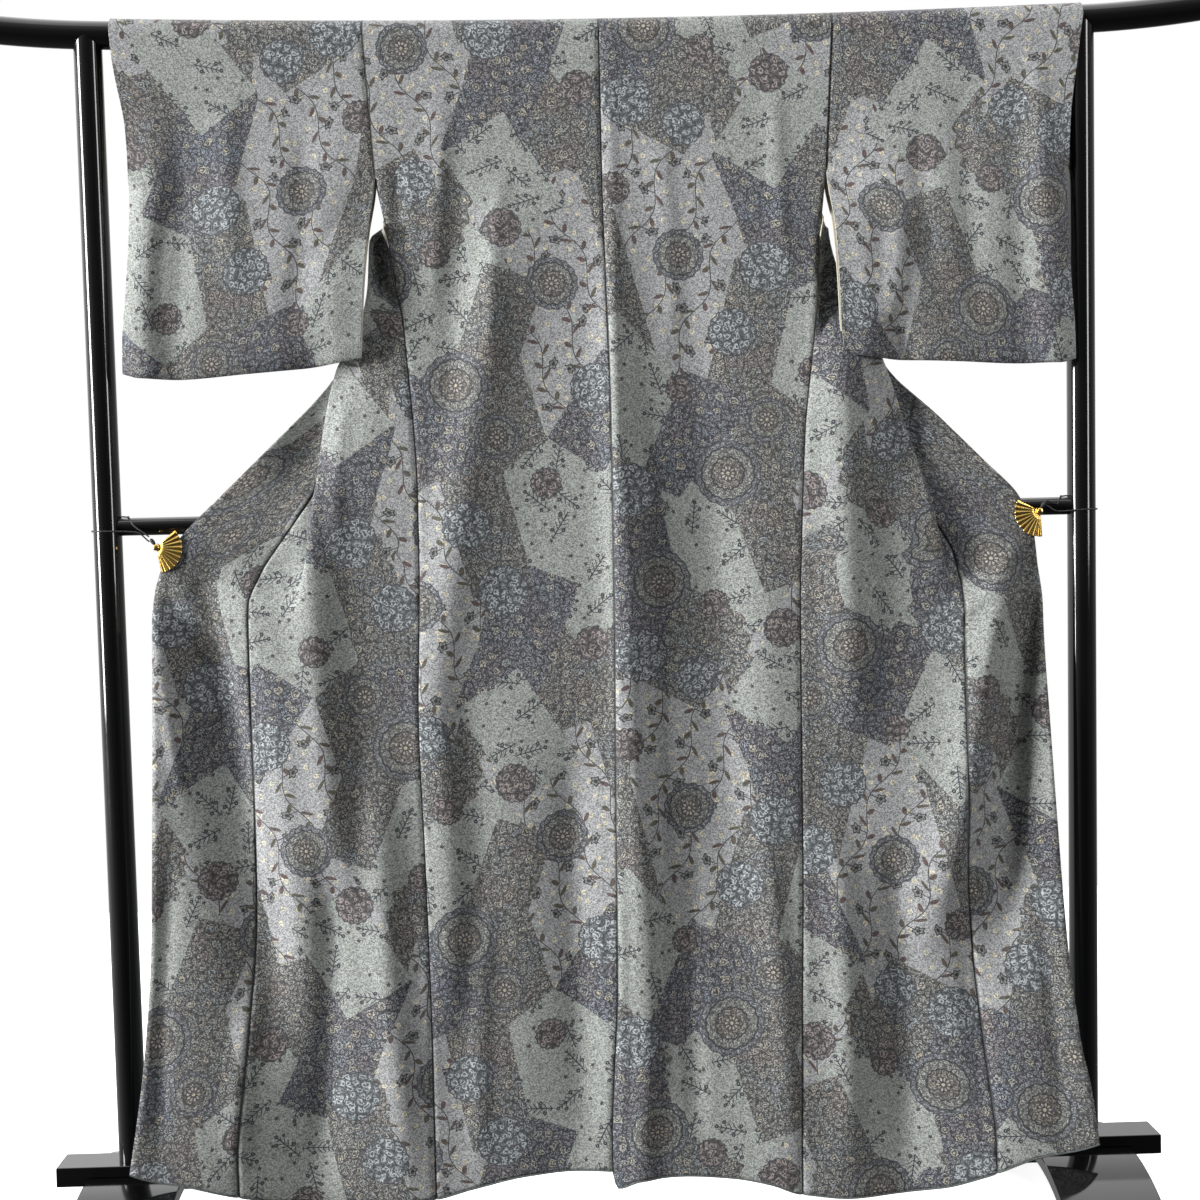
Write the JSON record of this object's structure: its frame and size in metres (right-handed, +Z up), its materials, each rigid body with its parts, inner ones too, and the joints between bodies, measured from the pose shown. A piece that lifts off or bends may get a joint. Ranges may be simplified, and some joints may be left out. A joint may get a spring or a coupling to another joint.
{
  "type": "kimono on a lacquered display stand",
  "caption": "Lined patterned kimono, back view, hung over the round bar of a black lacquered display stand, its fronts spread to the sides by two small fan clips.",
  "frame": {"origin": "on the floor, midway between the two arched feet, straight below the top bar", "axes": "+Z up; +X along the top bar to the right as the garment's back is seen; the back of the garment faces -Y"},
  "size_m": [1.7252, 0.5674, 1.6877],
  "materials": {
    "printed_crepe": "matt silk crepe, printed, plain pale silk lining on its inner face",
    "black_lacquer": "high gloss black lacquer",
    "gold_plate": "polished gilt",
    "black_cord": "round black cord, two millimetres thick"
  },
  "bodies": {
    "root": {"body_left": "printed_crepe", "body_right": "printed_crepe", "okumi_left": "printed_crepe", "okumi_right": "printed_crepe", "sleeve_left": "printed_crepe", "sleeve_right": "printed_crepe", "collar": "printed_crepe", "top_bar": "black_lacquer", "rail": "black_lacquer", "post_left": "black_lacquer", "post_right": "black_lacquer", "block_left": "black_lacquer", "block_right": "black_lacquer", "foot_left": "black_lacquer", "foot_right": "black_lacquer", "fan_left": "gold_plate", "fan_right": "gold_plate", "clip_pin_left": "gold_plate", "clip_pin_right": "gold_plate", "clip_jaw_left": "gold_plate", "clip_jaw_right": "gold_plate", "cord_knot_left": "black_cord", "cord_knot_right": "black_cord", "clip_cord_left": "black_cord", "clip_cord_right": "black_cord"}
  },
  "joints": []
}
